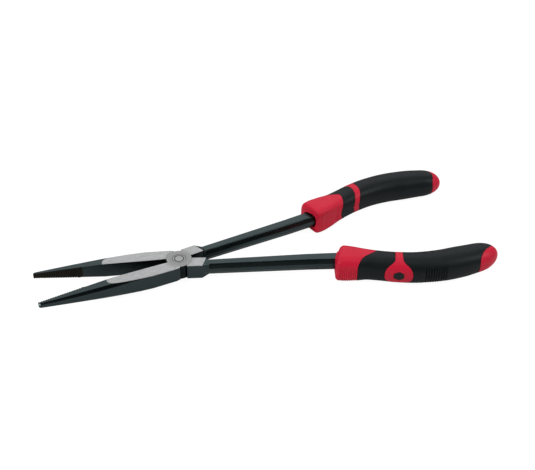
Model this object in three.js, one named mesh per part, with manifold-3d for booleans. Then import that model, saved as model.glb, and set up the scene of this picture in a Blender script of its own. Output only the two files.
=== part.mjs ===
import * as THREE from 'three';
import { mergeVertices } from 'three/addons/utils/BufferGeometryUtils.js';
import Module from 'manifold-3d';

// Long-reach straight needle-nose pliers. Sizes in millimetres.
// One half of the pliers is drawn closed, then placed twice. In that drawing the pivot axis is the Z axis,
// the joint's mid-plane is z = 0, the jaw runs towards -X on the +Y side and the handle towards +X
// on the -Y side. The other half is the same parts turned over about the X axis.

// Pose and joint
const restHalfOpening = THREE.MathUtils.degToRad(8.5);
const jointThickness = 9.7;
const halfJoint = jointThickness / 2;
const hubRadius = 7.5;
const hubClearance = 0.15;
const lapGap = 0.1;
const rivetRadius = 4.0;
const rivetClearance = 0.08;
const rivetEdge = 0.25;
const roundSides = 56;

// Jaw, from the tip to its shoulder beside the hub. Inner is the face towards the other jaw, ridge
// the edge of the flat top and bottom, outer the widest point, and sideHalf half the flat side.
const jawStations = [
  { x: -86.0, inner: 0.1, ridge: 1.2, outer: 2.0, halfThickness: 1.4, sideHalf: 0.8 },
  { x: -85.2, inner: 0.1, ridge: 1.6, outer: 2.5, halfThickness: 1.65, sideHalf: 1.0 },
  { x: -74.0, inner: 0.1, ridge: 2.9, outer: 4.1, halfThickness: 2.55, sideHalf: 1.5 },
  { x: -62.7, inner: 0.1, ridge: 4.0, outer: 5.4, halfThickness: 3.45, sideHalf: 2.0 },
  { x: -59.4, inner: 0.1, ridge: 4.3, outer: 5.7, halfThickness: 3.7, sideHalf: 2.15 },
  { x: -58.4, inner: 0.45, ridge: 4.4, outer: 5.8, halfThickness: 3.77, sideHalf: 2.2 },
  { x: -51.0, inner: 0.45, ridge: 5.1, outer: 6.45, halfThickness: 4.35, sideHalf: 2.5 },
  { x: -44.0, inner: 0.45, ridge: 5.7, outer: 6.95, halfThickness: halfJoint, sideHalf: 2.8 },
  { x: -36.0, inner: 0.45, ridge: 6.9, outer: 7.6, halfThickness: halfJoint, sideHalf: 3.6 },
  { x: -28.0, inner: 0.45, ridge: 7.9, outer: 8.15, halfThickness: halfJoint, sideHalf: 4.5 },
  { x: -20.0, inner: 0.45, ridge: 8.5, outer: 8.7, halfThickness: halfJoint, sideHalf: 4.65 },
  { x: -10.0, inner: 0.6, ridge: 8.3, outer: 8.5, halfThickness: halfJoint, sideHalf: 4.65 },
  { x: -5.1, inner: 0.8, ridge: 8.2, outer: 8.4, halfThickness: halfJoint, sideHalf: 4.65 },
  { x: -2.5, inner: 0.8, ridge: 7.6, outer: 7.8, halfThickness: halfJoint, sideHalf: 4.65 },
];

// Cross grooves of the gripping face
const toothCount = 18;
const toothPitch = 1.4;
const toothDepth = 0.45;
const firstToothX = -84.8;

// Handle block beside the hub, and the rod that leaves its slanted end
const blockOutline = [[4.2, -7.6], [13.1, -8.25], [16.1, -1.1], [8.0, -0.2], [3.0, -2.0]];
const blockEnd = { centre: [14.6, -4.675], halfWidth: 3.8, slant: THREE.MathUtils.degToRad(-22.8) };
const blockEdge = 0.3;
const handleStations = [
  { x: 17.4, y: -4.0, halfWidth: 3.45, halfThickness: 3.85, corner: 0.5 },
  { x: 56.0, y: -5.95, halfWidth: 3.85, halfThickness: 3.95, corner: 0.5 },
  { x: 93.0, y: -8.25, halfWidth: 4.15, halfThickness: 4.15, corner: 0.5 },
  { x: 106.0, y: -10.6, halfWidth: 3.8, halfThickness: 4.1, corner: 0.5 },
  { x: 120.0, y: -15.2, halfWidth: 3.3, halfThickness: 4.0, corner: 0.6 },
  { x: 134.0, y: -19.0, halfWidth: 3.0, halfThickness: 3.6, corner: 1.6 },
  { x: 148.0, y: -20.2, halfWidth: 2.8, halfThickness: 3.2, corner: 1.4 },
  { x: 164.0, y: -18.9, halfWidth: 2.5, halfThickness: 2.8, corner: 1.2 },
];
const handleCornerSteps = 4;
const handleLean = 1.15;
const handleSideShare = 0.28;
const handleSteps = 14;

// Grip, from the collar's front face to the rounded end
const gripStations = [
  { x: 93.8, y: -10.2, halfWidth: 7.6, halfThickness: 7.0, corner: 2.6 },
  { x: 95.0, y: -10.4, halfWidth: 8.6, halfThickness: 8.1, corner: 3.2 },
  { x: 98.0, y: -10.9, halfWidth: 9.1, halfThickness: 8.8, corner: 4.0 },
  { x: 105.0, y: -12.2, halfWidth: 8.8, halfThickness: 8.7, corner: 5.4 },
  { x: 112.0, y: -13.6, halfWidth: 8.3, halfThickness: 8.4, corner: 6.2 },
  { x: 120.0, y: -15.8, halfWidth: 8.4, halfThickness: 8.3, corner: 6.7 },
  { x: 130.0, y: -18.4, halfWidth: 8.7, halfThickness: 8.6, corner: 7.0 },
  { x: 142.0, y: -20.2, halfWidth: 9.0, halfThickness: 8.75, corner: 7.2 },
  { x: 156.0, y: -20.1, halfWidth: 9.3, halfThickness: 8.9, corner: 7.3 },
  { x: 169.0, y: -18.0, halfWidth: 9.4, halfThickness: 8.8, corner: 7.3 },
  { x: 180.0, y: -15.1, halfWidth: 8.7, halfThickness: 8.25, corner: 7.1 },
  { x: 187.0, y: -12.8, halfWidth: 7.4, halfThickness: 7.0, corner: 6.4 },
  { x: 191.6, y: -11.1, halfWidth: 5.3, halfThickness: 5.1, corner: 4.8 },
  { x: 193.6, y: -10.2, halfWidth: 2.5, halfThickness: 2.4, corner: 2.3 },
  { x: 194.0, y: -10.0, halfWidth: 0.9, halfThickness: 0.8, corner: 0.7 },
];
const gripCornerSteps = 6;
const gripSteps = 24;

// Walls and gaps inside the grip
const sleeveWall = 2.6;
const coreGap = 0.15;
const tangGap = 0.15;
const zoneGap = 0.2;
const coreStartX = 97.0;
const coreEndX = 188.0;
const coreSteps = 9;
const coreCornerSteps = 4;
const rodHoleGap = 0.5;

// Where each grip changes from one moulded zone to the next, seen along Z
const nearZones = {
  collar: [
    [114.8, 5.0], [115.0, -5.5], [118.2, -8.5], [117.8, -10.5], [113.2, -13.9], [107.4, -17.4], [104.6, -20.5],
    [104.2, -32.0],
  ],
  band: { x: 130.5, y: -18.5, turn: THREE.MathUtils.degToRad(-13), badgeTurn: THREE.MathUtils.degToRad(-13) },
  cap: [
    [185.2, 5.0], [185.3, -5.7], [189.2, -8.5], [190.3, -10.5], [189.6, -12.2], [186.8, -15.0], [183.0, -18.7],
    [180.8, -22.0], [180.0, -32.0],
  ],
};
const farZones = {
  collar: [
    [114.4, 5.0], [114.5, -5.6], [116.3, -8.8], [117.8, -12.8], [117.4, -15.1], [114.5, -16.6], [110.7, -17.9],
    [106.5, -19.6], [104.2, -32.0],
  ],
  band: { x: 130.4, y: -18.5, turn: THREE.MathUtils.degToRad(18), badgeTurn: THREE.MathUtils.degToRad(-13) },
  cap: [
    [185.0, 5.0], [185.1, -5.6], [186.7, -8.6], [188.0, -12.4], [186.5, -17.0], [182.5, -22.4], [180.5, -32.0],
  ],
};
const bandWidth = 4.4;
const badgeRadius = 8.4;
const zoneReach = 40;

// Marks on the outer side of the grip
const inlayRadius = 3.4;
const inlayGap = 0.1;
const inlayDepth = 1.0;
const inlaySides = 6;
const badgeSurface = 8.6;
const ribCount = 10;
const ribPitch = 1.45;
const ribGroove = 0.6;
const ribDepth = 0.4;
const ribHalfLength = 6.0;
const firstRibX = 145.0;

const wasm = await Module();
wasm.setup();

/** Turns a three.js geometry into a solid that can be combined with others. */
function solidOf(geometry) {
  const plain = geometry.clone();
  plain.deleteAttribute('normal');
  plain.deleteAttribute('uv');
  const welded = mergeVertices(plain, 1e-4);
  const mesh = new wasm.Mesh({
    numProp: 3,
    vertProperties: new Float32Array(welded.attributes.position.array),
    triVerts: new Uint32Array(welded.index.array),
  });
  mesh.merge();
  return new wasm.Manifold(mesh);
}

/** Turns a finished solid into a three.js geometry. */
function geometryOf(solid) {
  const mesh = solid.getMesh();
  const geometry = new THREE.BufferGeometry();
  geometry.setAttribute('position', new THREE.BufferAttribute(new Float32Array(mesh.vertProperties), 3));
  geometry.setIndex(new THREE.BufferAttribute(new Uint32Array(mesh.triVerts), 1));
  return geometry;
}

/** Stretches a skin over rings of points that all have the same count. */
function skin(rings) {
  const sides = rings[0].length;
  const steps = rings.length - 1;
  const geometry = new THREE.CylinderGeometry(1, 1, 1, sides, steps);
  const position = geometry.attributes.position;
  const centreOf = (ring) => ring
    .reduce((sum, point) => sum.add(point), new THREE.Vector3())
    .divideScalar(ring.length);
  for (let i = 0; i < position.count; i += 1) {
    const x = position.getX(i);
    const z = position.getZ(i);
    const ring = rings[Math.round((0.5 - position.getY(i)) * steps)];
    const side = Math.round((Math.atan2(x, z) / (2 * Math.PI)) * sides + sides) % sides;
    const target = Math.hypot(x, z) < 0.5 ? centreOf(ring) : ring[side];
    position.setXYZ(i, target.x, target.y, target.z);
  }
  return solidOf(geometry);
}

/**
 * Points of a rectangle with rounded corners, across a line that runs at an angle in plan. With a lean its sides
 * stand upright near mid-height and come in by that much towards the top and the bottom.
 */
function roundedRing({ x, y, angle, halfWidth, halfThickness, corner }, cornerSteps, lean) {
  const points = [];
  const upright = halfThickness * handleSideShare;
  const addPoint = (wide, thick) => {
    const past = Math.max(Math.abs(thick) - upright, 0) / (halfThickness - upright);
    const leaned = wide - Math.sign(wide) * (lean ?? 0) * past;
    points.push(new THREE.Vector3(x - leaned * Math.sin(angle), y + leaned * Math.cos(angle), thick));
  };
  for (let quarter = 0; quarter < 4; quarter += 1) {
    const thickSign = quarter === 0 || quarter === 3 ? 1 : -1;
    const wideSign = quarter < 2 ? 1 : -1;
    for (let step = 0; step < cornerSteps; step += 1) {
      const turn = (quarter + step / (cornerSteps - 1)) * Math.PI / 2;
      const wide = wideSign * (halfWidth - corner) + corner * Math.sin(turn);
      const thick = thickSign * (halfThickness - corner) + corner * Math.cos(turn);
      addPoint(wide, thick);
    }
    if (lean !== undefined && quarter % 2 === 0) {
      addPoint(wideSign * halfWidth, wideSign * upright);
      addPoint(wideSign * halfWidth, -wideSign * upright);
    }
  }
  return points;
}

/** Smooth sections through a list of stations, each turned to follow the line through them. */
function sectionsAlong(stations, steps, inset = 0) {
  const line = new THREE.CatmullRomCurve3(stations.map(({ x, y }) => new THREE.Vector3(x, y, 0)));
  const size = new THREE.CatmullRomCurve3(stations.map(
    ({ halfWidth, halfThickness, corner }) => new THREE.Vector3(halfWidth, halfThickness, corner),
  ));
  const sections = [];
  for (let i = 0; i <= steps; i += 1) {
    const at = i / steps;
    const point = line.getPoint(at);
    const tangent = line.getTangent(at);
    const { x: halfWidth, y: halfThickness, z: corner } = size.getPoint(at);
    sections.push({
      x: point.x,
      y: point.y,
      angle: Math.atan2(tangent.y, tangent.x),
      halfWidth: halfWidth - inset,
      halfThickness: halfThickness - inset,
      corner: Math.max(corner - inset, 0.3),
    });
  }
  return sections;
}

/** A plan outline given thickness along Z, centred on the mid-plane. */
function plate(outline, thickness) {
  const shape = new THREE.Shape(outline.map(([x, y]) => new THREE.Vector2(x, y)));
  const geometry = new THREE.ExtrudeGeometry(shape, { depth: thickness, bevelEnabled: false });
  geometry.translate(0, 0, -thickness / 2);
  return solidOf(geometry);
}

/** A round bar along Z between two heights. */
function barAlongZ(radius, bottom, top) {
  const geometry = new THREE.CylinderGeometry(radius, radius, top - bottom, roundSides);
  geometry.rotateX(Math.PI / 2);
  geometry.translate(0, 0, (top + bottom) / 2);
  return solidOf(geometry);
}

function makeJaw() {
  return skin(jawStations.map(({ x, inner, ridge, outer, halfThickness, sideHalf }) => [
    new THREE.Vector3(x, inner, halfThickness),
    new THREE.Vector3(x, ridge, halfThickness),
    new THREE.Vector3(x, outer, sideHalf),
    new THREE.Vector3(x, outer, -sideHalf),
    new THREE.Vector3(x, ridge, -halfThickness),
    new THREE.Vector3(x, inner, -halfThickness),
  ]));
}

function makeTeethCutter() {
  const outline = [];
  for (let i = 0; i < toothCount; i += 1) {
    const x = firstToothX + i * toothPitch;
    outline.push([x - toothPitch / 2, 0], [x, toothDepth]);
  }
  outline.push([firstToothX + (toothCount - 0.5) * toothPitch, 0]);
  outline.push([firstToothX + (toothCount - 0.5) * toothPitch, -1], [firstToothX - toothPitch / 2, -1]);
  return plate(outline, jointThickness).translate([0, jawStations[0].inner, 0]);
}

/** Rod and tang, from the slanted end of the block to the tang's end inside the grip. */
function makeHandle(inset) {
  const rings = sectionsAlong(handleStations, handleSteps, inset)
    .map((section) => roundedRing(section, handleCornerSteps, handleLean));
  const blockRing = (shift) => roundedRing({
    x: blockEnd.centre[0] + shift,
    y: blockEnd.centre[1],
    angle: blockEnd.slant,
    halfWidth: blockEnd.halfWidth,
    halfThickness: halfJoint,
    corner: blockEdge,
  }, handleCornerSteps, 0);
  return skin([blockRing(-2), blockRing(0), ...rings]);
}

function makeLever() {
  const block = plate(blockOutline, jointThickness);
  const hub = barAlongZ(hubRadius, -halfJoint, -lapGap / 2);
  const seat = barAlongZ(hubRadius + hubClearance, -lapGap / 2, jointThickness);
  const rivetHole = barAlongZ(rivetRadius + rivetClearance, -jointThickness, jointThickness);
  return makeJaw()
    .subtract(makeTeethCutter())
    .add(block)
    .add(makeHandle(0))
    .add(hub)
    .subtract(seat)
    .subtract(rivetHole);
}

function makeRivet() {
  const profile = [
    [0, -halfJoint],
    [rivetRadius - rivetEdge, -halfJoint],
    [rivetRadius, -halfJoint + rivetEdge],
    [rivetRadius, halfJoint - rivetEdge],
    [rivetRadius - rivetEdge, halfJoint],
    [0, halfJoint],
  ];
  const geometry = new THREE.LatheGeometry(profile.map(([x, y]) => new THREE.Vector2(x, y)), roundSides);
  geometry.rotateX(Math.PI / 2);
  return solidOf(geometry);
}

function gripSkin(inset) {
  return skin(sectionsAlong(gripStations, gripSteps, inset)
    .map((section) => roundedRing(section, gripCornerSteps)));
}

/** The grip's shape drawn inwards by a wall, for the stations that the hard core runs through. */
function coreSkin(inset) {
  const stations = gripStations.filter(({ x }) => x > coreStartX && x < coreEndX);
  return skin(sectionsAlong(stations, coreSteps, inset)
    .map((section) => roundedRing(section, coreCornerSteps)));
}

/** Everything on the rear side of a boundary line, shifted along X. */
function behind(boundary, shift) {
  const line = boundary.map(([x, y]) => [x + shift, y]);
  const [firstX] = line[0];
  const [lastX] = line[line.length - 1];
  const outline = [
    [firstX, zoneReach],
    ...line,
    [lastX, -2 * zoneReach],
    [firstX + 4 * zoneReach, -2 * zoneReach],
    [firstX + 4 * zoneReach, zoneReach],
  ];
  return plate(outline, 2 * zoneReach);
}

/** A shape drawn round a band's centre, turned to follow the grip there. */
function atBand(band, geometry, turn = band.turn) {
  geometry.rotateZ(turn);
  geometry.translate(band.x, band.y, 0);
  return solidOf(geometry);
}

/** Everything on the rear side of a band's centre. */
function behindBand(band) {
  const reach = 2 * zoneReach;
  return atBand(band, new THREE.BoxGeometry(reach, reach, reach).translate(reach / 2, 0, 0));
}

/** The ring round the grip and the round badge on its outer side, grown by a gap. */
function bandCutter(band, grow) {
  const ring = atBand(band, new THREE.BoxGeometry(bandWidth + 2 * grow, zoneReach, zoneReach));
  const radius = badgeRadius + grow;
  const disc = new THREE.CylinderGeometry(radius, radius, zoneReach / 2, roundSides);
  disc.translate(0, -zoneReach / 4 + grow, 0);
  return ring.add(atBand(band, disc, band.badgeTurn));
}

/** A six-sided plug let into the badge from the outer side. */
function inlayPlug(band, grow) {
  const radius = inlayRadius + grow;
  const reach = 2 * inlayDepth;
  const plug = new THREE.CylinderGeometry(radius, radius, reach, inlaySides);
  plug.translate(0, inlayDepth - badgeSurface - reach / 2 + grow, 0);
  return atBand(band, plug, band.badgeTurn);
}

/** Shallow grooves across the outer side of the rear sleeve. */
function makeGrooves(whole) {
  let slots = null;
  for (let i = 0; i < ribCount; i += 1) {
    const slot = new THREE.BoxGeometry(ribGroove, zoneReach, 2 * ribHalfLength);
    slot.translate(firstRibX + i * ribPitch, -zoneReach, 0);
    slots = slots ? slots.add(solidOf(slot)) : solidOf(slot);
  }
  return slots.subtract(gripSkin(ribDepth)).intersect(whole);
}

/** Solids of one grip, by piece name. */
function makeGrip({ collar, band, cap }) {
  const tang = makeHandle(-tangGap);
  const rodHole = makeHandle(-rodHoleGap);
  const whole = gripSkin(0);
  const shell = whole.subtract(coreSkin(sleeveWall));
  const pastCollar = behind(collar, 0);
  const pastCap = behind(cap, 0);
  const pastBand = behindBand(band);
  const sleeves = shell.subtract(bandCutter(band, zoneGap));
  return {
    grip_core: coreSkin(sleeveWall + coreGap).subtract(tang),
    guard_collar: shell.subtract(pastCollar).subtract(rodHole),
    front_sleeve: sleeves.intersect(behind(collar, zoneGap)).subtract(pastBand),
    badge_band: shell.intersect(bandCutter(band, 0)).subtract(inlayPlug(band, inlayGap)),
    rear_sleeve: sleeves.intersect(pastBand).subtract(behind(cap, -zoneGap)).subtract(makeGrooves(whole)),
    end_cap: shell.intersect(pastCap),
    badge_inlay: inlayPlug(band, 0).intersect(whole),
  };
}

const finishes = {
  lever: { color: 0x4a5052, roughness: 0.42, metalness: 0.85 },
  pivot_rivet: { color: 0x9ea1a3, roughness: 0.35, metalness: 0.95 },
  grip_core: { color: 0x1d1f20, roughness: 0.6, metalness: 0 },
  guard_collar: { color: 0xc4182f, roughness: 0.5, metalness: 0 },
  front_sleeve: { color: 0x24292a, roughness: 0.62, metalness: 0 },
  badge_band: { color: 0xc4182f, roughness: 0.5, metalness: 0 },
  rear_sleeve: { color: 0x24292a, roughness: 0.62, metalness: 0 },
  end_cap: { color: 0xc4182f, roughness: 0.5, metalness: 0 },
  badge_inlay: { color: 0x141617, roughness: 0.5, metalness: 0 },
};

/** A named mesh from a solid, moved by a matrix into the part's frame. */
function meshOf(name, finish, solid, placement) {
  const geometry = geometryOf(solid);
  geometry.applyMatrix4(placement);
  geometry.computeVertexNormals();
  const mesh = new THREE.Mesh(geometry, new THREE.MeshStandardMaterial(finishes[finish]));
  mesh.name = name;
  return mesh;
}

// The part's origin is on the pivot axis, on the joint's underside.
const lift = new THREE.Matrix4().makeTranslation(0, 0, halfJoint);
const nearPlacement = lift.clone()
  .multiply(new THREE.Matrix4().makeRotationZ(-restHalfOpening));
const farPlacement = lift.clone()
  .multiply(new THREE.Matrix4().makeRotationZ(restHalfOpening))
  .multiply(new THREE.Matrix4().makeRotationX(Math.PI));

const pliers = new THREE.Group();
pliers.name = 'needle_nose_pliers';
const lever = makeLever();
const halves = [
  ['near', { lever, ...makeGrip(nearZones) }, nearPlacement],
  ['far', { lever, ...makeGrip(farZones) }, farPlacement],
];
for (const [side, pieces, placement] of halves) {
  for (const [piece, solid] of Object.entries(pieces)) {
    pliers.add(meshOf(`${side}_${piece}`, piece, solid, placement));
  }
}
pliers.add(meshOf('pivot_rivet', 'pivot_rivet', makeRivet(), lift));

export default pliers;
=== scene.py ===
import math

import bmesh
import bpy
from mathutils import Matrix, Vector


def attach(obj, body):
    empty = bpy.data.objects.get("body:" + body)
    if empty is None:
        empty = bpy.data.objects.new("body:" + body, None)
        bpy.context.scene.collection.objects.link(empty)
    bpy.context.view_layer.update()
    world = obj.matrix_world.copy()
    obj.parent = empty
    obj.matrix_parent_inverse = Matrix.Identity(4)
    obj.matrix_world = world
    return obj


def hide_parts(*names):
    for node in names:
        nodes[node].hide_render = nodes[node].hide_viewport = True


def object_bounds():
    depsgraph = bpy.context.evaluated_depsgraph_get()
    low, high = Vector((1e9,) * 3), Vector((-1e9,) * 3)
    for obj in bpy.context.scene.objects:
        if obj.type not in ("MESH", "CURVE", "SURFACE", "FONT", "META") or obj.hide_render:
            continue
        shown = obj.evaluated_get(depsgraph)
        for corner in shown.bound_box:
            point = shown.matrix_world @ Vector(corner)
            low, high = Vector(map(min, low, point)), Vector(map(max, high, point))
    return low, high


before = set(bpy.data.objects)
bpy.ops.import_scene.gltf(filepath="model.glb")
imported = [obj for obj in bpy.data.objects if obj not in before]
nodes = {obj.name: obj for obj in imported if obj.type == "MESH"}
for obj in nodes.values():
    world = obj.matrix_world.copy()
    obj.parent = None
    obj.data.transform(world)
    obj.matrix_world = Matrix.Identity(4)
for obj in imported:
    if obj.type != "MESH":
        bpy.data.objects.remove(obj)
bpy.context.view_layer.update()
mm = 0.001

# Each half is drawn closed and flat on z = 0, then turned into its resting place
pose = {"halfOpening": math.radians(8.5), "midHeight": 4.85}
lift = Matrix.Translation((0, 0, pose["midHeight"] * mm))
# sideShift pairs a distance along the half with a sideways move. The other tables pair a side angle in
# degrees (-90 outer side, 0 top or bottom, 90 inner side) with a distance along it, or with a radius
halves = {
    "near": {
        "body": "near_half",
        "place": lift @ Matrix.Rotation(-pose["halfOpening"], 4, "Z"),
        "up": 1,
        "end": 194.05,
        "sideShift": [(91.5, -0.6), (105, -0.8), (112, -0.5), (165, -0.6), (176, -1.0), (184, -1.4),
                      (194.1, -1.5)],
        "collarFront": [(-90, 93.8), (-60, 93.6), (-30, 93.6), (0, 94.1), (30, 94.9), (60, 96.1), (90, 97.0)],
        "collarRound": [(-90, 2.0), (-45, 2.2), (0, 2.8), (45, 3.0), (90, 2.6)],
        "collarEdge": [(-90, 106.0), (-60, 106.1), (-45, 106.9), (-30, 108.3), (-15, 110.6), (0, 113.2),
                       (15, 115.3), (30, 116.8), (40, 117.3), (60, 115.6), (80, 113.2), (90, 113.0)],
        "bandLine": [(-90, 130.5), (0, 130.3), (90, 130.5)],
        "capEdge": [(-90, 177.8), (-60, 178.2), (-50, 179.0), (-40, 180.2), (-30, 181.8), (-20, 184.5),
                    (-10, 188.0), (0, 190.0), (15, 190.8), (35, 190.0), (60, 188.0), (90, 187.4)],
    },
    "far": {
        "body": "far_half",
        "place": lift @ Matrix.Rotation(pose["halfOpening"], 4, "Z") @ Matrix.Rotation(math.pi, 4, "X"),
        "up": -1,
        "end": 192.8,
        "sideShift": [(91.5, 0.2), (112, 0.3), (134, 0.8), (152, 1.2), (165, 1.5), (180, 1.2), (194.1, 1.3)],
        "collarFront": [(-90, 91.7), (-45, 91.7), (0, 92.7), (30, 93.4), (60, 93.9), (90, 94.1)],
        "collarRound": [(-90, 3.2), (-45, 3.0), (0, 2.0), (45, 1.0), (90, 1.0)],
        "collarEdge": [(-90, 106.0), (-60, 107.4), (-45, 109.3), (-30, 111.6), (-15, 115.0), (0, 117.4),
                       (15, 117.2), (30, 116.2), (45, 114.9), (60, 113.8), (75, 112.9), (90, 112.6)],
        "bandLine": [(-90, 130.3), (-30, 130.3), (0, 130.4), (30, 129.1), (60, 126.8), (90, 125.4)],
        "capEdge": [(-90, 178.1), (-60, 180.0), (-30, 184.8), (0, 187.2), (30, 187.0), (60, 186.6),
                    (90, 186.9)],
    },
}


# small helpers for meshes

weldDistance = 1e-6
gripSmoothing = 35


def finishMesh(bm, name, place, material, smoothAngle=gripSmoothing):
    # writes the bmesh to an object whose place is in its vertices
    bmesh.ops.transform(bm, matrix=place, verts=bm.verts)
    for face in bm.faces:
        face.smooth = True
    for edge in bm.edges:
        edge.smooth = edge.calc_face_angle(0) < math.radians(smoothAngle)
    mesh = bpy.data.meshes.new(name)
    bm.to_mesh(mesh)
    bm.free()
    mesh.materials.append(material)
    piece = bpy.data.objects.new(name, mesh)
    bpy.context.scene.collection.objects.link(piece)
    return piece


def addSolidify(piece, thickness):
    wall = piece.modifiers.new("wall", "SOLIDIFY")
    wall.thickness = thickness * mm
    wall.offset = -1


def addBevel(piece, width, segments, angle):
    edges = piece.modifiers.new("edges", "BEVEL")
    edges.width = width * mm
    edges.segments = segments
    edges.limit_method = "ANGLE"
    edges.angle_limit = math.radians(angle)
    edges.harden_normals = True


def weld(bm):
    bmesh.ops.remove_doubles(bm, verts=bm.verts, dist=weldDistance)
    bmesh.ops.recalc_face_normals(bm, faces=bm.faces)


def settle(piece, side, slot, *stoodFor):
    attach(piece, halves[side]["body"])
    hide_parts(*stoodFor)


# small helpers for materials


class Wiring:
    # adds nodes to a tree and joins them up
    def __init__(self, tree):
        self.tree = tree

    def add(self, kind, **values):
        node = self.tree.nodes.new(kind)
        for key, value in values.items():
            setattr(node, key, value)
        return node

    def join(self, source, target):
        self.tree.links.new(source, target)

    def feed(self, socket, value):
        if isinstance(value, bpy.types.NodeSocket):
            self.join(value, socket)
        else:
            socket.default_value = value

    def math(self, operation, a, b=0.0):
        node = self.add("ShaderNodeMath", operation=operation)
        self.feed(node.inputs[0], a)
        self.feed(node.inputs[1], b)
        return node.outputs[0]

    def ramp(self, value, low, high, toLow=0.0, toHigh=1.0):
        node = self.add("ShaderNodeMapRange", interpolation_type="SMOOTHSTEP")
        self.feed(node.inputs["Value"], value)
        node.inputs["From Min"].default_value = low
        node.inputs["From Max"].default_value = high
        node.inputs["To Min"].default_value = toLow
        node.inputs["To Max"].default_value = toHigh
        return node.outputs["Result"]

    def mix(self, factor, a, b):
        node = self.add("ShaderNodeMix", data_type="RGBA")
        self.feed(node.inputs["Factor"], factor)
        self.feed(node.inputs["A"], a)
        self.feed(node.inputs["B"], b)
        return node.outputs["Result"]

    def noise(self, vector, scale, detail=4.0, roughness=0.55):
        node = self.add("ShaderNodeTexNoise")
        self.join(vector, node.inputs["Vector"])
        node.inputs["Scale"].default_value = scale
        node.inputs["Detail"].default_value = detail
        node.inputs["Roughness"].default_value = roughness
        return node.outputs["Fac"]

    def times(self, a, b):
        return self.math("MULTIPLY", a, b)

    def mapped(self, vector, scale=(1, 1, 1), turn=0.0, shift=(0, 0, 0)):
        node = self.add("ShaderNodeMapping")
        self.join(vector, node.inputs["Vector"])
        node.inputs["Location"].default_value = shift
        node.inputs["Rotation"].default_value = (0, 0, turn)
        node.inputs["Scale"].default_value = scale
        return node.outputs["Vector"]


def newMaterial(name):
    material = bpy.data.materials.new(name)
    material.use_nodes = True
    tree = material.node_tree
    tree.nodes.clear()
    wiring = Wiring(tree)
    shader = wiring.add("ShaderNodeBsdfPrincipled")
    output = wiring.add("ShaderNodeOutputMaterial")
    wiring.join(shader.outputs["BSDF"], output.inputs["Surface"])
    place = wiring.add("ShaderNodeTexCoord").outputs["Object"]
    return material, wiring, shader, place


def addBump(wiring, shader, height, strength, distance):
    bump = wiring.add("ShaderNodeBump")
    bump.inputs["Strength"].default_value = strength
    bump.inputs["Distance"].default_value = distance * mm
    wiring.join(height, bump.inputs["Height"])
    wiring.join(bump.outputs["Normal"], shader.inputs["Normal"])


grainShape = {"fineDetail": 3.0, "fineRoughness": 0.6, "slowDetail": 2.0, "span": (0.3, 0.7)}


def makeGrainGroup():
    # fine pebbled grain with a slow drift, shared by every surface of the tool
    tree = bpy.data.node_groups.new("surfaceGrain", "ShaderNodeTree")
    tree.interface.new_socket("Vector", in_out="INPUT", socket_type="NodeSocketVector")
    tree.interface.new_socket("Grain Scale", in_out="INPUT", socket_type="NodeSocketFloat")
    tree.interface.new_socket("Drift Scale", in_out="INPUT", socket_type="NodeSocketFloat")
    tree.interface.new_socket("Grain", in_out="OUTPUT", socket_type="NodeSocketFloat")
    tree.interface.new_socket("Drift", in_out="OUTPUT", socket_type="NodeSocketFloat")
    wiring = Wiring(tree)
    entry = wiring.add("NodeGroupInput")
    leave = wiring.add("NodeGroupOutput")
    fine = wiring.add("ShaderNodeTexNoise")
    fine.inputs["Detail"].default_value = grainShape["fineDetail"]
    fine.inputs["Roughness"].default_value = grainShape["fineRoughness"]
    slow = wiring.add("ShaderNodeTexNoise")
    slow.inputs["Detail"].default_value = grainShape["slowDetail"]
    wiring.join(entry.outputs["Vector"], fine.inputs["Vector"])
    wiring.join(entry.outputs["Vector"], slow.inputs["Vector"])
    wiring.join(entry.outputs["Grain Scale"], fine.inputs["Scale"])
    wiring.join(entry.outputs["Drift Scale"], slow.inputs["Scale"])
    wiring.join(fine.outputs["Fac"], leave.inputs["Grain"])
    wiring.join(slow.outputs["Fac"], leave.inputs["Drift"])
    return tree


grainGroup = makeGrainGroup()


def addGrain(wiring, place, grainScale, driftScale):
    node = wiring.add("ShaderNodeGroup", node_tree=grainGroup)
    wiring.join(place, node.inputs["Vector"])
    node.inputs["Grain Scale"].default_value = grainScale
    node.inputs["Drift Scale"].default_value = driftScale
    return node.outputs["Grain"], node.outputs["Drift"]


mouldedGrain = {"scale": 2600.0, "drift": 45.0, "bump": 0.6}
mouldedLook = {
    "red": {
        "light": (0.68, 0.013, 0.044, 1),
        "deep": (0.62, 0.010, 0.037, 1),
        "roughness": (0.42, 0.54),
        "gloss": 0.2,
        "grain": 0.05,
    },
    "black": {
        "light": (0.0070, 0.0108, 0.0122, 1),
        "deep": (0.0052, 0.0082, 0.0094, 1),
        "roughness": (0.42, 0.54),
        "gloss": 0.17,
        "grain": 0.09,
    },
    "core": {
        "light": (0.012, 0.013, 0.014, 1),
        "deep": (0.008, 0.009, 0.010, 1),
        "roughness": (0.50, 0.60),
        "gloss": 0.25,
        "grain": 0.03,
    },
}


def makeMoulded(name, look):
    material, wiring, shader, place = newMaterial(name)
    grain, drift = addGrain(wiring, place, mouldedGrain["scale"], mouldedGrain["drift"])
    wiring.join(wiring.mix(drift, look["light"], look["deep"]), shader.inputs["Base Color"])
    wiring.join(wiring.ramp(grain, *grainShape["span"], *look["roughness"]), shader.inputs["Roughness"])
    shader.inputs["Specular IOR Level"].default_value = look["gloss"]
    addBump(wiring, shader, grain, mouldedGrain["bump"], look["grain"])
    return material


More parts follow.
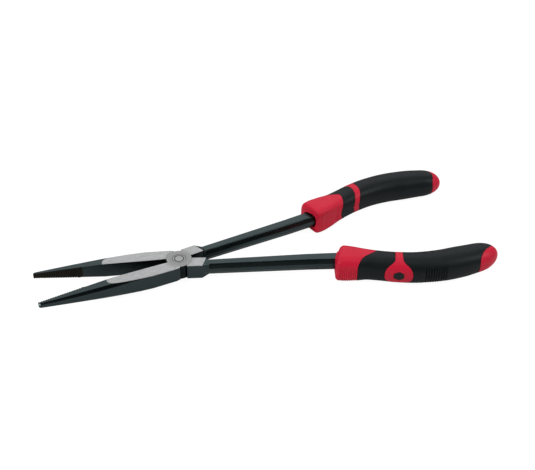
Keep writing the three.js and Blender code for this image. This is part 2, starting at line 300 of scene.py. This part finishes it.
steelLook = {
    "black": (0.034, 0.048, 0.051, 1),
    "blackWorn": (0.046, 0.061, 0.064, 1),
    # painted shade: the colour the blackened faces take in the recess round the pivot, full inside the first
    # hub radius and gone past the second
    "hubPaintedShade": (0.012, 0.016, 0.017, 1),
    "hub": (7.6, 7.95),
    "grip": (0.020, 0.019, 0.015, 1),
    "ground": (0.28, 0.287, 0.29, 1),
    "groundLight": (0.56, 0.565, 0.57, 1),
    "groundHub": (0.20, 0.198, 0.195, 1),
    # from and to in millimetres, and how strong it is at each
    "hubShade": (5.0, 11.0, 0.6, 0.0),
    "flatHeight": 4.85,
    "flatFade": (-0.30, -0.18),
    "noseEdge": -45.6,
    "noseRound": {"start": 1.0, "squeeze": 0.235, "power": 4.0, "reach": 2.4},
    "noseFade": 0.12,
    # place along and across, and the slant in degrees
    "blockEnd": (14.6, -4.675, 22.8),
    "blockFade": (-0.05, 0.12),
    "gripEnd": -57.3,
    "gripFade": 0.2,
    "gripSide": (0.55, 0.75),
    "grain": (1500.0, 60.0),
    "scratch": {"stretch": 22, "scale": 260.0, "detail": 5.0, "span": (0.25, 0.75), "height": 0.35},
    "roughBlack": (0.27, 0.35),
    "roughGround": (0.36, 0.52),
    "roughGrip": 0.15,
    "bump": (0.5, 0.010),
}


def steelAxes(wiring, along, side):
    # millimetres along the half, towards its inner side, and away from the mid-plane
    parts = wiring.add("ShaderNodeSeparateXYZ")
    wiring.join(along, parts.inputs[0])
    x = wiring.times(parts.outputs["X"], 1 / mm)
    y = wiring.times(parts.outputs["Y"], 1 / mm if side == "near" else -1 / mm)
    z = wiring.math("ABSOLUTE", wiring.times(parts.outputs["Z"], 1 / mm))
    return x, y, z


def groundMask(wiring, x, y, z):
    # how far inside the ground area a point is: height, rounded nose end and slanted block end
    look = steelLook
    high = wiring.ramp(z, *(look["flatHeight"] + fade for fade in look["flatFade"]))
    nose = look["noseRound"]
    fromInner = wiring.times(wiring.math("SUBTRACT", y, nose["start"]), nose["squeeze"])
    curve = wiring.math("POWER", wiring.math("MAXIMUM", fromInner, 0.0), nose["power"])
    noseLine = wiring.math("ADD", wiring.times(curve, nose["reach"]), look["noseEdge"])
    pastNose = wiring.ramp(wiring.math("SUBTRACT", x, noseLine), -look["noseFade"], look["noseFade"])
    endX, endY, slant = look["blockEnd"]
    acrossEnd = wiring.times(wiring.math("SUBTRACT", x, endX), math.cos(math.radians(slant)))
    besideEnd = wiring.times(wiring.math("SUBTRACT", y, endY), math.sin(math.radians(slant)))
    pastEnd = wiring.math("SUBTRACT", acrossEnd, besideEnd)
    beforeEnd = wiring.ramp(pastEnd, *look["blockFade"], 1.0, 0.0)
    return wiring.times(wiring.times(high, pastNose), beforeEnd)


def makeSteel(name, side):
    # blackened forging, with the ground flats found by their height above the mid-plane
    look = steelLook
    material, wiring, shader, place = newMaterial(name)
    turn = pose["halfOpening"] if side == "near" else -pose["halfOpening"]
    centred = wiring.mapped(place, shift=(0, 0, -pose["midHeight"] * mm))
    along = wiring.mapped(centred, turn=turn)
    x, y, z = steelAxes(wiring, along, side)
    ground = groundMask(wiring, x, y, z)

    scratch = look["scratch"]
    grain, drift = addGrain(wiring, along, *look["grain"])
    stretched = wiring.mapped(along, scale=(1, scratch["stretch"], scratch["stretch"]))
    scratches = wiring.noise(stretched, scratch["scale"], detail=scratch["detail"])
    gripEdge = (look["gripEnd"] - look["gripFade"], look["gripEnd"] + look["gripFade"])
    onGrip = wiring.times(wiring.ramp(x, *gripEdge, 1.0, 0.0), wiring.ramp(y, *look["gripSide"], 1.0, 0.0))
    fromPivot = wiring.math("SQRT", wiring.math("ADD", wiring.times(x, x), wiring.times(y, y)))

    blackened = wiring.mix(drift, look["black"], look["blackWorn"])
    blackened = wiring.mix(onGrip, blackened, look["grip"])
    # painted shade over the blackened finish, darkening the recess round the pivot
    blackened = wiring.mix(wiring.ramp(fromPivot, *look["hub"], 1.0, 0.0), blackened, look["hubPaintedShade"])
    bright = wiring.mix(wiring.ramp(scratches, *scratch["span"]), look["ground"], look["groundLight"])
    bright = wiring.mix(wiring.ramp(fromPivot, *look["hubShade"]), bright, look["groundHub"])
    wiring.join(wiring.mix(ground, blackened, bright), shader.inputs["Base Color"])
    shader.inputs["Metallic"].default_value = 1.0

    roughBlack = wiring.ramp(grain, *grainShape["span"], *look["roughBlack"])
    roughGround = wiring.ramp(scratches, *grainShape["span"], *look["roughGround"])
    roughBlack = wiring.math("ADD", roughBlack, wiring.times(onGrip, look["roughGrip"]))
    difference = wiring.times(wiring.math("SUBTRACT", roughGround, roughBlack), ground)
    wiring.join(wiring.math("ADD", roughBlack, difference), shader.inputs["Roughness"])
    grainHeight = wiring.times(wiring.math("SUBTRACT", 1.0, ground), grain)
    scratchHeight = wiring.times(wiring.times(ground, scratches), scratch["height"])
    addBump(wiring, shader, wiring.math("ADD", grainHeight, scratchHeight), *look["bump"])
    return material


rivetLook = {
    "base": (0.40, 0.405, 0.41, 1),
    "dark": (0.26, 0.26, 0.26, 1),
    "grime": (0.05, 0.048, 0.045, 1),
    "grain": (1500.0, 300.0),
    "turning": 20800.0,
    "ringShade": 0.15,
    "groove": (2.4, 3.1),
    "rim": 3.8,
    "soft": 0.1,
    # grime follows the drift between the first two, from the third to the fourth
    "grooveGrime": (0.35, 0.6, 0.45, 0.9),
    "rimGrime": 0.7,
    "roughness": (0.34, 0.46),
    "bump": (0.3, 0.01),
}


def makeRivetSteel():
    # turned rings round the pivot, over a ground face
    look = rivetLook
    material, wiring, shader, place = newMaterial("rivetSteel")
    parts = wiring.add("ShaderNodeSeparateXYZ")
    wiring.join(place, parts.inputs[0])
    squareX = wiring.times(parts.outputs["X"], parts.outputs["X"])
    squareY = wiring.times(parts.outputs["Y"], parts.outputs["Y"])
    radius = wiring.math("SQRT", wiring.math("ADD", squareX, squareY))
    rings = wiring.math("SINE", wiring.times(radius, look["turning"]))
    grain, drift = addGrain(wiring, place, *look["grain"])
    shade = wiring.math("ADD", wiring.times(rings, look["ringShade"]), drift)
    clean = wiring.mix(shade, look["base"], look["dark"])
    low, high = (edge * mm for edge in look["groove"])
    rim, soft = look["rim"], look["soft"]
    fromLow = wiring.ramp(radius, low - soft * mm, low + soft * mm)
    toHigh = wiring.ramp(radius, high - soft * mm, high + soft * mm, 1.0, 0.0)
    inGroove = wiring.times(fromLow, toHigh)
    atRim = wiring.ramp(radius, (rim - soft) * mm, (rim + soft) * mm, 0.0, look["rimGrime"])
    grooveDirt = wiring.times(inGroove, wiring.ramp(drift, *look["grooveGrime"]))
    dirt = wiring.math("MAXIMUM", grooveDirt, atRim)
    wiring.join(wiring.mix(dirt, clean, look["grime"]), shader.inputs["Base Color"])
    shader.inputs["Metallic"].default_value = 1.0
    wiring.join(wiring.ramp(grain, *grainShape["span"], *look["roughness"]), shader.inputs["Roughness"])
    addBump(wiring, shader, rings, *look["bump"])
    return material


materials = {
    "redRubber": makeMoulded("redRubber", mouldedLook["red"]),
    "blackRubber": makeMoulded("blackRubber", mouldedLook["black"]),
    "corePlastic": makeMoulded("corePlastic", mouldedLook["core"]),
    "nearSteel": makeSteel("nearSteel", "near"),
    "farSteel": makeSteel("farSteel", "far"),
    "rivetSteel": makeRivetSteel(),
}
print("materials made")


# grip surface, in the closed drawing of one half

gripShape = {
    # along, side, half width, half thickness, squareness of the outer and of the inner half
    "stations": [
        (91.5, -9.8, 8.7, 8.2, 3.4, 6.0),
        (98.0, -10.9, 9.2, 8.85, 3.4, 5.6),
        (105.0, -12.2, 8.85, 8.7, 3.1, 4.6),
        (112.0, -13.6, 8.3, 8.35, 2.8, 3.2),
        (120.0, -15.8, 8.4, 8.25, 2.6, 2.7),
        (130.0, -18.4, 8.7, 8.6, 2.45, 2.45),
        (142.0, -20.2, 9.0, 8.7, 2.4, 2.4),
        (156.0, -20.1, 9.3, 8.85, 2.4, 2.4),
        (169.0, -18.0, 9.35, 8.8, 2.4, 2.4),
        (180.0, -15.1, 8.8, 8.3, 2.35, 2.35),
        (187.0, -12.8, 8.5, 8.1, 2.3, 2.3),
        (194.1, -9.9, 8.3, 7.9, 2.2, 2.2),
    ],
    "endFrom": 180.0,
    "endPower": 2.2,
    "wall": 1.2,
    "seam": 0.1,
    "around": 128,
    "slopeReach": 0.5,
    # width, segments and least angle of each zone's rounded lip
    "lip": (0.22, 3, 50),
}


def smoothBetween(stations, x):
    # runs a smooth line through the stations and reads it at x
    last = len(stations) - 2
    index = 0
    while index < last and stations[index + 1][0] < x:
        index += 1
    before = stations[max(index - 1, 0)]
    start, end = stations[index], stations[index + 1]
    after = stations[min(index + 2, len(stations) - 1)]
    span = end[0] - start[0]
    t = (x - start[0]) / span
    values = []
    for column in range(1, len(start)):
        slopeStart = (end[column] - before[column]) / (end[0] - before[0]) * span
        slopeEnd = (after[column] - start[column]) / (after[0] - start[0]) * span
        lead = (2 * t ** 3 - 3 * t ** 2 + 1) * start[column] + (t ** 3 - 2 * t ** 2 + t) * slopeStart
        tail = (3 * t ** 2 - 2 * t ** 3) * end[column] + (t ** 3 - t ** 2) * slopeEnd
        values.append(lead + tail)
    return values


def gripSection(side, x):
    # centre, direction and size of the grip's section at a distance along it
    shift = halves[side]["sideShift"]
    middle, width, thickness, outerPower, innerPower = smoothBetween(gripShape["stations"], x)
    middle += smoothBetween(shift, x)[0]
    reach = gripShape["slopeReach"]
    ahead = smoothBetween(gripShape["stations"], x + reach)[0] + smoothBetween(shift, x + reach)[0]
    behind = smoothBetween(gripShape["stations"], x - reach)[0] + smoothBetween(shift, x - reach)[0]
    angle = math.atan2(ahead - behind, 2 * reach)
    past = max(x - gripShape["endFrom"], 0) / (halves[side]["end"] - gripShape["endFrom"])
    shrink = max(1 - min(past, 1) ** gripShape["endPower"], 0) ** (1 / gripShape["endPower"])
    return middle, angle, width * shrink, thickness * shrink, (outerPower, innerPower)


# keeps the very end of a grip, where its section has no size, from dividing by nothing
leastSize = 1e-6


def sectionPoint(width, thickness, powers, turn, inset=0.0):
    # turn 0 is the top and a quarter turn is the inner side, facing the other handle
    c, s = math.cos(turn), math.sin(turn)
    power = powers[1] if s > 0 else powers[0]
    upward = abs(c / max(thickness, leastSize)) ** power
    sideways = abs(s / max(width, leastSize)) ** power
    reach = (upward + sideways) ** (-1 / power)
    reach = max(reach - inset, 0)
    return reach * s, reach * c


def gripPoint(side, x, turn, inset=0.0):
    middle, angle, width, thickness, powers = gripSection(side, x)
    wide, high = sectionPoint(width, thickness, powers, turn, inset)
    return Vector((x - wide * math.sin(angle), middle + wide * math.cos(angle), high)) * mm


def makeTube(rows, around):
    # a plain open tube of rows, ready to have its rings moved into place
    bm = bmesh.new()
    bmesh.ops.create_cone(bm, cap_ends=False, segments=around, radius1=1, radius2=1, depth=rows - 1)
    lengthwise = [edge for edge in bm.edges if abs(edge.verts[0].co.z - edge.verts[1].co.z) > 0.5]
    bmesh.ops.subdivide_edges(bm, edges=lengthwise, cuts=rows - 2)
    return bm


def layOnGrip(bm, rows, pointAt):
    # sends each vertex to pointAt(row, turn)
    for vertex in bm.verts:
        row = round(vertex.co.z + (rows - 1) / 2)
        turn = math.atan2(vertex.co.y, vertex.co.x) % (2 * math.pi)
        vertex.co = pointAt(row, turn)


def sideAngle(turn):
    # degrees from the outer side (-90) over the top or the bottom (0) to the inner side (90)
    return math.degrees(math.asin(max(-1, min(1, math.sin(turn)))))


def edgeAt(line, turn):
    return smoothBetween(line, sideAngle(turn))[0]


def window(value, low, high, soft):
    # 1 between low and high, fading to 0 over the soft distance outside them
    def fade(t):
        t = max(0, min(1, t))
        return t * t * (3 - 2 * t)
    return fade((value - low) / soft + 1) * fade((high - value) / soft + 1)


# a ring that widens into a round badge on the outer side
bandHalfWidth = [(-90, 7.75), (-75, 7.5), (-60, 6.6), (-50, 5.45), (-42, 4.2), (-35, 3.15), (-27, 2.5),
                 (-18, 2.25), (0, 2.2), (90, 2.3)]


def bandAt(side, turn, sign):
    return edgeAt(halves[side]["bandLine"], turn) + sign * edgeAt(bandHalfWidth, turn)


def ribDepth(side, x, turn, ribs):
    # a row of shallow round-bottomed grooves round the outer side
    end = ribs["first"] + ribs["count"] * ribs["pitch"]
    if x < ribs["first"] or x > end or math.sin(turn) > 0:
        return 0.0
    width, thickness, powers = gripSection(side, x)[2:]
    high = sectionPoint(width, thickness, powers, turn)[1] * halves[side]["up"]
    fade = window(high, ribs["low"], ribs["high"], ribs["soft"])
    return ribs["depth"] * fade * (0.5 - 0.5 * math.cos(2 * math.pi * (x - ribs["first"]) / ribs["pitch"]))


def makeZone(side, name, node, colour, rows, pointAt):
    # one moulded zone of a grip, laid row by row along it and given a wall
    bm = makeTube(rows, gripShape["around"])
    layOnGrip(bm, rows, pointAt)
    weld(bm)
    piece = finishMesh(bm, side + name, halves[side]["place"], materials[colour + "Rubber"])
    addSolidify(piece, gripShape["wall"])
    addBevel(piece, *gripShape["lip"])
    settle(piece, side, colour + "_rubber", side + node)


collarShape = {
    "edgeRows": 8,
    "holeRows": 3,
    "faceRows": 5,
    "bodyRows": 84,
    "holeAlong": 94.0,
    "holeSide": -8.3,
    "holeSize": (4.8, 4.85),
    "holePowers": (3.0, 3.0),
    "holeDepth": 5.0,
    "ribs": {"first": 95.8, "count": 8, "pitch": 1.3, "depth": 0.36, "low": -7.0, "high": 1.2,
             "soft": 4.0},
    "panel": {"start": 99.5, "end": 108.8, "half": 4.0, "soft": 2.4, "depth": 0.35},
}


def panelDepth(side, x, turn, panel):
    # the shallow flat on the inner side
    if math.sin(turn) < 0:
        return 0.0
    width, thickness, powers = gripSection(side, x)[2:]
    high = sectionPoint(width, thickness, powers, turn)[1]
    across = window(high, -panel["half"], panel["half"], panel["soft"])
    return panel["depth"] * across * window(x, panel["start"], panel["end"], panel["soft"])


def makeCollar(side):
    shape = collarShape
    half = halves[side]
    holeRows, faceRows, edgeRows = shape["holeRows"], shape["faceRows"], shape["edgeRows"]
    rows = holeRows + faceRows + edgeRows + shape["bodyRows"]

    def holePoint(x, turn):
        angle = gripSection(side, shape["holeAlong"])[1]
        wide, high = sectionPoint(*shape["holeSize"], shape["holePowers"], turn)
        return Vector((x - wide * math.sin(angle), shape["holeSide"] + wide * math.cos(angle), high)) * mm

    def pointAt(row, turn):
        front = edgeAt(half["collarFront"], turn)
        radius = edgeAt(half["collarRound"], turn)
        if row < holeRows:  # wall of the hole round the rod
            return holePoint(front + shape["holeDepth"] * (1 - row / holeRows), turn)
        row -= holeRows
        if row < faceRows:  # front face
            outer = gripPoint(side, front, turn, radius)
            return holePoint(front, turn).lerp(outer, row / faceRows)
        row -= faceRows
        if row < edgeRows:  # rounded front edge
            swing = row / edgeRows * math.pi / 2
            x = front + radius * (1 - math.cos(swing))
            return gripPoint(side, x, turn, radius * (1 - math.sin(swing)))
        row -= edgeRows
        start, end = front + radius, edgeAt(half["collarEdge"], turn) - gripShape["seam"]
        x = start + (end - start) * row / (shape["bodyRows"] - 1)
        inset = ribDepth(side, x, turn, shape["ribs"]) + panelDepth(side, x, turn, shape["panel"])
        return gripPoint(side, x, turn, inset)

    makeZone(side, "GuardCollar", "_guard_collar", "red", rows, pointAt)


frontSleeveShape = {"rows": 26}


def makeFrontSleeve(side):
    rows = frontSleeveShape["rows"]
    edge = halves[side]["collarEdge"]

    def pointAt(row, turn):
        start = edgeAt(edge, turn) + gripShape["seam"]
        end = bandAt(side, turn, -1) - gripShape["seam"]
        return gripPoint(side, start + (end - start) * row / (rows - 1), turn)

    makeZone(side, "FrontSleeve", "_front_sleeve", "black", rows, pointAt)


badgeBandShape = {"rows": 20}


def makeBadgeBand(side):
    rows = badgeBandShape["rows"]

    def pointAt(row, turn):
        start, end = bandAt(side, turn, -1), bandAt(side, turn, 1)
        return gripPoint(side, start + (end - start) * row / (rows - 1), turn)

    makeZone(side, "BadgeBand", "_badge_band", "red", rows, pointAt)


rearSleeveShape = {
    "frontRows": 12,
    "ribRows": 96,
    "rearRows": 30,
    "ribStart": 143.5,
    "ribs": {"first": 144.6, "count": 9, "pitch": 1.45, "depth": 0.75, "low": -6.5, "high": 4.9,
             "soft": 1.4},
    "afterRibs": 1,
}


def makeRearSleeve(side):
    shape = rearSleeveShape
    edge = halves[side]["capEdge"]
    frontRows, ribRows, rearRows = shape["frontRows"], shape["ribRows"], shape["rearRows"]
    rows = frontRows + ribRows + rearRows
    ribs = shape["ribs"]
    ribEnd = ribs["first"] + ribs["count"] * ribs["pitch"] + shape["afterRibs"]

    def pointAt(row, turn):
        if row < frontRows:
            start = bandAt(side, turn, 1) + gripShape["seam"]
            return gripPoint(side, start + (shape["ribStart"] - start) * row / frontRows, turn)
        row -= frontRows
        if row < ribRows:
            x = shape["ribStart"] + (ribEnd - shape["ribStart"]) * row / ribRows
            return gripPoint(side, x, turn, ribDepth(side, x, turn, ribs))
        row -= ribRows
        end = edgeAt(edge, turn) - gripShape["seam"]
        return gripPoint(side, ribEnd + (end - ribEnd) * row / (rearRows - 1), turn)

    makeZone(side, "RearSleeve", "_rear_sleeve", "black", rows, pointAt)


endCapShape = {"rows": 28}


def makeEndCap(side):
    rows = endCapShape["rows"]
    edge = halves[side]["capEdge"]

    def pointAt(row, turn):
        start = edgeAt(edge, turn) + gripShape["seam"]
        share = math.sin(row / (rows - 1) * math.pi / 2)
        return gripPoint(side, start + (halves[side]["end"] - start) * share, turn)

    makeZone(side, "EndCap", "_end_cap", "red", rows, pointAt)


inlayShape = {
    "radius": 3.3,
    "corner": 7.0,
    "proud": 0.14,
    "deep": 0.5,
    "rows": 8,
    "around": 60,
    "along": 130.5,
    "lip": (0.08, 2, 50),
}


def makeInlay(side):
    # six-sided plate bent to the badge's surface
    shape = inlayShape

    def pointAt(row, turn):
        flats = sum(abs(math.cos(turn - k * math.pi / 3)) ** (shape["corner"] * 2) for k in range(3))
        reach = shape["radius"] * math.cos(math.pi / 6) * flats ** (-0.5 / shape["corner"])
        reach *= 1 - row / (shape["rows"] - 1)
        x, high = shape["along"] + reach * math.cos(turn), reach * math.sin(turn)
        middle, angle, width, thickness, powers = gripSection(side, x)
        wide = width * (1 - abs(high / thickness) ** powers[0]) ** (1 / powers[0]) + shape["proud"]
        return Vector((x + wide * math.sin(angle), middle - wide * math.cos(angle), high)) * mm

    bm = makeTube(shape["rows"], shape["around"])
    layOnGrip(bm, shape["rows"], pointAt)
    weld(bm)
    if sum(face.normal.y for face in bm.faces) > 0:
        bmesh.ops.reverse_faces(bm, faces=bm.faces)
    piece = finishMesh(bm, side + "BadgeInlay", halves[side]["place"], materials["corePlastic"])
    addSolidify(piece, shape["deep"])
    addBevel(piece, *shape["lip"])
    settle(piece, side, "badge_black", side + "_badge_inlay")


for side in halves:
    makeCollar(side)
    makeFrontSleeve(side)
    makeBadgeBand(side)
    makeRearSleeve(side)
    makeEndCap(side)
    makeInlay(side)
    print("grip made:", side)


# levers and rivet

leverEdges = {"width": 0.24, "segments": 3, "angle": 18, "weld": 2e-6, "sameFace": 0.4, "level": 0.9999}


def makeLever(side):
    # the solid lever merged into whole faces, with its edges broken
    edges = leverEdges
    bm = bmesh.new()
    bm.from_mesh(nodes[side + "_lever"].data)
    bmesh.ops.remove_doubles(bm, verts=bm.verts, dist=edges["weld"])
    bmesh.ops.dissolve_limit(bm, angle_limit=math.radians(edges["sameFace"]), verts=bm.verts, edges=bm.edges)
    piece = finishMesh(bm, side + "Lever", Matrix.Identity(4), materials[side + "Steel"], edges["angle"])
    mesh = piece.data
    # the outlines of the level faces stay crisp
    level = [face for face in mesh.polygons if abs(face.normal.z) > edges["level"]]
    flat = {tuple(key) for face in level for key in face.edge_keys}
    for edge in mesh.edges:
        edge.use_edge_sharp = edge.use_edge_sharp or tuple(edge.key) in flat
    addBevel(piece, edges["width"], edges["segments"], edges["angle"])
    faces = piece.modifiers.new("faces", "WEIGHTED_NORMAL")
    faces.keep_sharp = True
    settle(piece, side, "blackened_steel", side + "_lever")


rivetShape = {
    "radius": 4.0,
    "halfHeight": 4.85,
    "around": 96,
    "edge": 0.3,
    "edgeSegments": 3,
    "groove": 3.0,
    "grooveWidth": 0.45,
    "grooveWall": 0.05,
    "grooveDepth": 0.25,
    "smoothAngle": 30,
}


def makeRivet():
    # a short pin with a rounded rim and a turned groove in each end
    shape = rivetShape
    bm = bmesh.new()
    bmesh.ops.create_cone(bm, cap_ends=True, segments=shape["around"], radius1=shape["radius"],
                          radius2=shape["radius"], depth=2 * shape["halfHeight"])
    ends = [face for face in bm.faces if len(face.verts) == shape["around"]]
    rims = [edge for edge in bm.edges if any(face in ends for face in edge.link_faces)]
    bmesh.ops.bevel(bm, geom=rims, offset=shape["edge"], offset_type="OFFSET",
                    segments=shape["edgeSegments"], profile=0.5, affect="EDGES", material=-1)
    ends = [face for face in bm.faces if len(face.verts) == shape["around"]]
    toGroove = shape["radius"] - shape["edge"] - shape["groove"]
    bmesh.ops.inset_individual(bm, faces=ends, thickness=toGroove)
    ring = bmesh.ops.inset_individual(bm, faces=ends, thickness=shape["grooveWidth"])["faces"]
    for face in ends:
        bmesh.ops.inset_individual(bm, faces=[face], thickness=shape["grooveWall"])
    grooveMiddle = shape["groove"] - shape["grooveWidth"] / 2
    for vertex in {vertex for face in ring for vertex in face.verts}:
        if math.hypot(vertex.co.x, vertex.co.y) < grooveMiddle:
            vertex.co.z -= math.copysign(shape["grooveDepth"], vertex.co.z)
    bmesh.ops.scale(bm, vec=(mm, mm, mm), verts=bm.verts)
    piece = finishMesh(bm, "pivotRivet", lift, materials["rivetSteel"], shape["smoothAngle"])
    settle(piece, "near", "rivet_steel", "pivot_rivet")


for side in halves:
    makeLever(side)
makeRivet()
for side in halves:
    core = nodes[side + "_grip_core"]
    core.data.materials.clear()
    core.data.materials.append(materials["corePlastic"])
print("levers and rivet made")


# floor, light and camera

studio = {
    "middle": (0.05, 0, 0),
    "floorDrop": 0.2,
    "floorSize": 8.0,
    "floorColour": (0.80, 0.80, 0.80, 1),
    "floorRoughness": 0.9,
    "floorGloss": 0.1,
    "floorVeil": 0.86,
    "floorGlow": 1.12,
    "roomLight": 0.10,
    # place, size and radiance of each panel, in metres
    "panels": {
        "backPanel": ((0.65, 1.42, 1.12), (2.6, 1.3), 1.5),
        "topPanel": ((0.10, 0.10, 1.70), (1.9, 0.30), 4.0),
        "leftPanel": ((-1.30, -0.35, 1.10), (0.6, 0.6), 15.0),
        "rightPanel": ((1.35, -0.75, 1.15), (0.6, 0.6), 11.5),
    },
}


def makeSeenWhite(wiring, output, lit, strength, share):
    # what the camera sees is nearly plain white, and everything else is lit by the surface itself
    glow = wiring.add("ShaderNodeEmission")
    glow.inputs["Strength"].default_value = strength
    seen = wiring.add("ShaderNodeLightPath").outputs["Is Camera Ray"]
    mix = wiring.add("ShaderNodeMixShader")
    wiring.join(wiring.math("MULTIPLY", seen, share), mix.inputs["Fac"])
    wiring.join(lit, mix.inputs[1])
    wiring.join(glow.outputs[0], mix.inputs[2])
    wiring.join(mix.outputs[0], output.inputs["Surface"])


def makeFloor():
    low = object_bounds()[0]
    x, y, z = studio["middle"]
    bm = bmesh.new()
    bmesh.ops.create_grid(bm, x_segments=1, y_segments=1, size=studio["floorSize"] / 2)
    material, wiring, shader = newMaterial("floorPaper")[:3]
    shader.inputs["Base Color"].default_value = studio["floorColour"]
    shader.inputs["Roughness"].default_value = studio["floorRoughness"]
    shader.inputs["Specular IOR Level"].default_value = studio["floorGloss"]
    output = material.node_tree.nodes["Material Output"]
    makeSeenWhite(wiring, output, shader.outputs[0], studio["floorGlow"], studio["floorVeil"])
    place = Matrix.Translation((x, y, z + low.z - studio["floorDrop"] * mm))
    floor = finishMesh(bm, "floor", place, material)


def makeRoom():
    world = bpy.data.worlds.new("studio")
    world.use_nodes = True
    wiring = Wiring(world.node_tree)
    room = world.node_tree.nodes["Background"]
    room.inputs["Strength"].default_value = studio["roomLight"]
    output = world.node_tree.nodes["World Output"]
    makeSeenWhite(wiring, output, room.outputs[0], 1.0, 1.0)
    bpy.context.scene.world = world


def addPanel(name, place, size, radiance):
    data = bpy.data.lights.new(name, "AREA")
    data.shape = "RECTANGLE"
    data.size, data.size_y = size
    data.energy = radiance * math.pi * size[0] * size[1]
    light = bpy.data.objects.new(name, data)
    light.location = place
    light.rotation_euler = (Vector(studio["middle"]) - Vector(place)).to_track_quat("-Z", "Y").to_euler()
    bpy.context.scene.collection.objects.link(light)


cameraShape = {
    "azimuth": -18.05,
    "elevation": 37.74,
    "roll": 1.43,
    "distance": 598.5,
    "sensor": 36,
    "lens": 64.24,
    "target": (59.65, 13.56, 4.85),
}


def makeCamera():
    azimuth = math.radians(cameraShape["azimuth"])
    elevation = math.radians(cameraShape["elevation"])
    roll = math.radians(cameraShape["roll"])
    back = Vector((math.sin(azimuth) * math.cos(elevation), -math.cos(azimuth) * math.cos(elevation),
                   math.sin(elevation)))
    right = Vector((math.cos(azimuth), math.sin(azimuth), 0))
    up = back.cross(right)
    tiltedRight = right * math.cos(roll) + up * math.sin(roll)
    tiltedUp = up * math.cos(roll) - right * math.sin(roll)
    data = bpy.data.cameras.new("camera")
    data.sensor_width = cameraShape["sensor"]
    data.lens = cameraShape["lens"]
    camera = bpy.data.objects.new("camera", data)
    turned = Matrix((tiltedRight, tiltedUp, back)).transposed().to_4x4()
    place = (Vector(cameraShape["target"]) + back * cameraShape["distance"]) * mm
    camera.matrix_world = Matrix.Translation(place) @ turned
    bpy.context.scene.collection.objects.link(camera)
    bpy.context.scene.camera = camera


makeFloor()
makeRoom()
for name, panel in studio["panels"].items():
    addPanel(name, *panel)
bpy.context.scene.view_settings.view_transform = "Standard"
makeCamera()
print("studio made")
